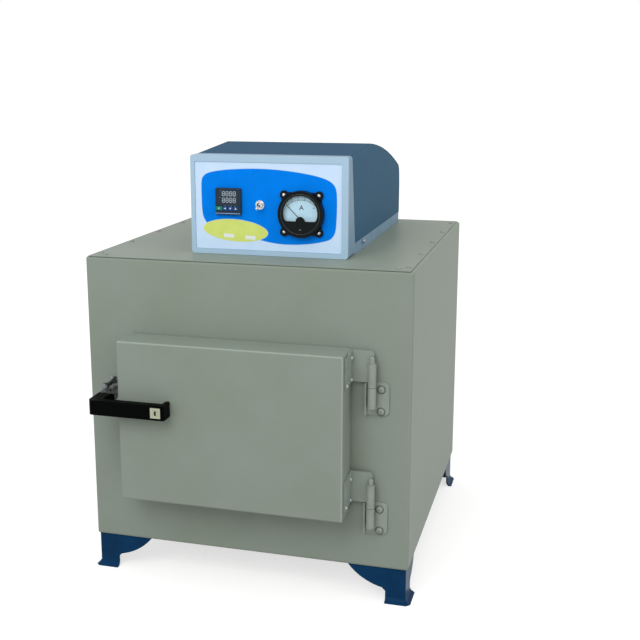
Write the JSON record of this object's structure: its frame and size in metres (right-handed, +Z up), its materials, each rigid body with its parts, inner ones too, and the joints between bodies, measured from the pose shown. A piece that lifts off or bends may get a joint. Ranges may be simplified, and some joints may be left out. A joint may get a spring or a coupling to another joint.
{
  "type": "electric resistance furnace",
  "caption": "Bench-top box furnace with a side-hinged door and latch handle, a ceramic heating chamber, sheet-metal legs and a controller case on its roof.",
  "frame": {"origin": "middle of the object's footprint on the floor", "axes": "+Z up, -Y the front with the door, +X the hinge side"},
  "size_m": [0.6104, 0.7211, 0.7945],
  "materials": {
    "cabinet_paint": "satin powder coat, light grey-green",
    "leg_paint": "satin powder coat, dark blue",
    "firebrick": "matte, dense refractory",
    "fibre": "matte, light ceramic fibre board",
    "heating_alloy": "oxidised resistance wire",
    "glazed_ceramic": "glazed",
    "stainless": "satin",
    "seal_rope": "woven fibre rope",
    "chrome": "polished plating",
    "black_plastic": "black, semi-gloss",
    "lock_metal": "satin, pale gold",
    "case_blue": "slate blue moulded plastic",
    "case_grey": "light blue-grey moulded plastic",
    "panel_film": "printed film, light blue with a mid blue field",
    "display_window": "smoked window",
    "key_grey": "matte key",
    "key_green": "matte key",
    "dial_card": "matte printed card",
    "clear_cover": "clear moulded cover",
    "needle_paint": "matte black",
    "copper": "enamelled winding",
    "heat_sink": "extruded, bare"
  },
  "bodies": {
    "cabinet": {"ammeter_case": "black_plastic", "ammeter_cover": "clear_cover", "ammeter_dial": "dial_card", "cabinet_shell": "cabinet_paint", "control_panel": "panel_film", "control_transformer": "copper", "controller_base": "case_grey", "controller_bezel": "case_grey", "controller_cover": "case_blue", "furnace_mouth": "firebrick", "hearth_plate": "firebrick", "heating_element_left_lower": "heating_alloy", "heating_element_left_upper": "heating_alloy", "heating_element_right_lower": "heating_alloy", "heating_element_right_upper": "heating_alloy", "hinge_leaf_lower": "cabinet_paint", "hinge_leaf_upper": "cabinet_paint", "hinge_pin_lower": "cabinet_paint", "hinge_pin_upper": "cabinet_paint", "insulation_block": "fibre", "latch_keeper": "chrome", "leaf_screw_lower_bottom": "cabinet_paint", "leaf_screw_lower_top": "cabinet_paint", "leaf_screw_upper_bottom": "cabinet_paint", "leaf_screw_upper_top": "cabinet_paint", "leg_front_left": "leg_paint", "leg_front_right": "leg_paint", "leg_rear_left": "leg_paint", "leg_rear_right": "leg_paint", "muffle": "firebrick", "power_inlet_gland": "black_plastic", "rear_cover": "cabinet_paint", "temp_controller": "black_plastic", "temp_display": "display_window", "terminal_block": "glazed_ceramic", "thermocouple": "stainless", "toggle_body": "stainless", "toggle_nut": "chrome", "top_panel": "cabinet_paint", "triac_heat_sink": "heat_sink"},
    "door": {"door_shell": "cabinet_paint", "door_insulation": "fibre", "door_back_frame": "stainless", "door_seal": "seal_rope", "hinge_arm_upper": "cabinet_paint", "hinge_arm_lower": "cabinet_paint", "latch_bracket": "chrome", "latch_pivot_pin": "chrome", "latch_adjust_bolt": "chrome", "latch_adjust_nut": "chrome"},
    "latch": {"latch_lever": "black_plastic", "lock_plate": "lock_metal"},
    "lock": {"lock_cylinder": "lock_metal"},
    "needle": {"ammeter_needle": "needle_paint"},
    "zero_screw": {"zero_adjuster": "black_plastic"},
    "toggle": {"toggle_lever": "chrome"},
    "key_set_body": {"key_set": "key_green"},
    "key_shift_body": {"key_shift": "key_grey"},
    "key_down_body": {"key_down": "key_grey"},
    "key_up_body": {"key_up": "key_grey"}
  },
  "joints": [
    {"name": "door_swing", "type": "hinge", "parent": "cabinet", "child": "door", "pos_m": [0.234, -0.27484, 0.32025], "axis": [0, 0, 1], "range_deg": [0, 120]},
    {"name": "latch_swing", "type": "hinge", "parent": "door", "child": "latch", "pos_m": [-0.243, -0.30584, 0.3385], "axis": [0, 0, -1], "range_deg": [0, 40]},
    {"name": "lock_turn", "type": "hinge", "parent": "latch", "child": "lock", "pos_m": [-0.12975, -0.35834, 0.352], "axis": [0, 1, 0], "range_deg": [0, 90]},
    {"name": "key_set_press", "type": "slide", "parent": "cabinet", "child": "key_set_body", "axis": [0, 1, 0], "range_m": [0, 0.0006], "stiffness_N_per_m": 500},
    {"name": "key_shift_press", "type": "slide", "parent": "cabinet", "child": "key_shift_body", "axis": [0, 1, 0], "range_m": [0, 0.0006], "stiffness_N_per_m": 500},
    {"name": "key_down_press", "type": "slide", "parent": "cabinet", "child": "key_down_body", "axis": [0, 1, 0], "range_m": [0, 0.0006], "stiffness_N_per_m": 500},
    {"name": "key_up_press", "type": "slide", "parent": "cabinet", "child": "key_up_body", "axis": [0, 1, 0], "range_m": [0, 0.0006], "stiffness_N_per_m": 500},
    {"name": "toggle_tip", "type": "hinge", "parent": "cabinet", "child": "toggle", "pos_m": [0.0088, -0.18764, 0.697], "axis": [-1, 0, 0], "range_deg": [0, 28]},
    {"name": "needle_swing", "type": "hinge", "parent": "cabinet", "child": "needle", "pos_m": [0.0856, -0.18754, 0.6716], "axis": [0, 1, 0], "range_deg": [0, 90], "stiffness_Nm_per_rad": 0.0002},
    {"name": "zero_adjust", "type": "hinge", "parent": "cabinet", "child": "zero_screw", "pos_m": [0.0856, -0.19494, 0.6564], "axis": [0, 1, 0], "range_deg": [-60, 60]}
  ]
}
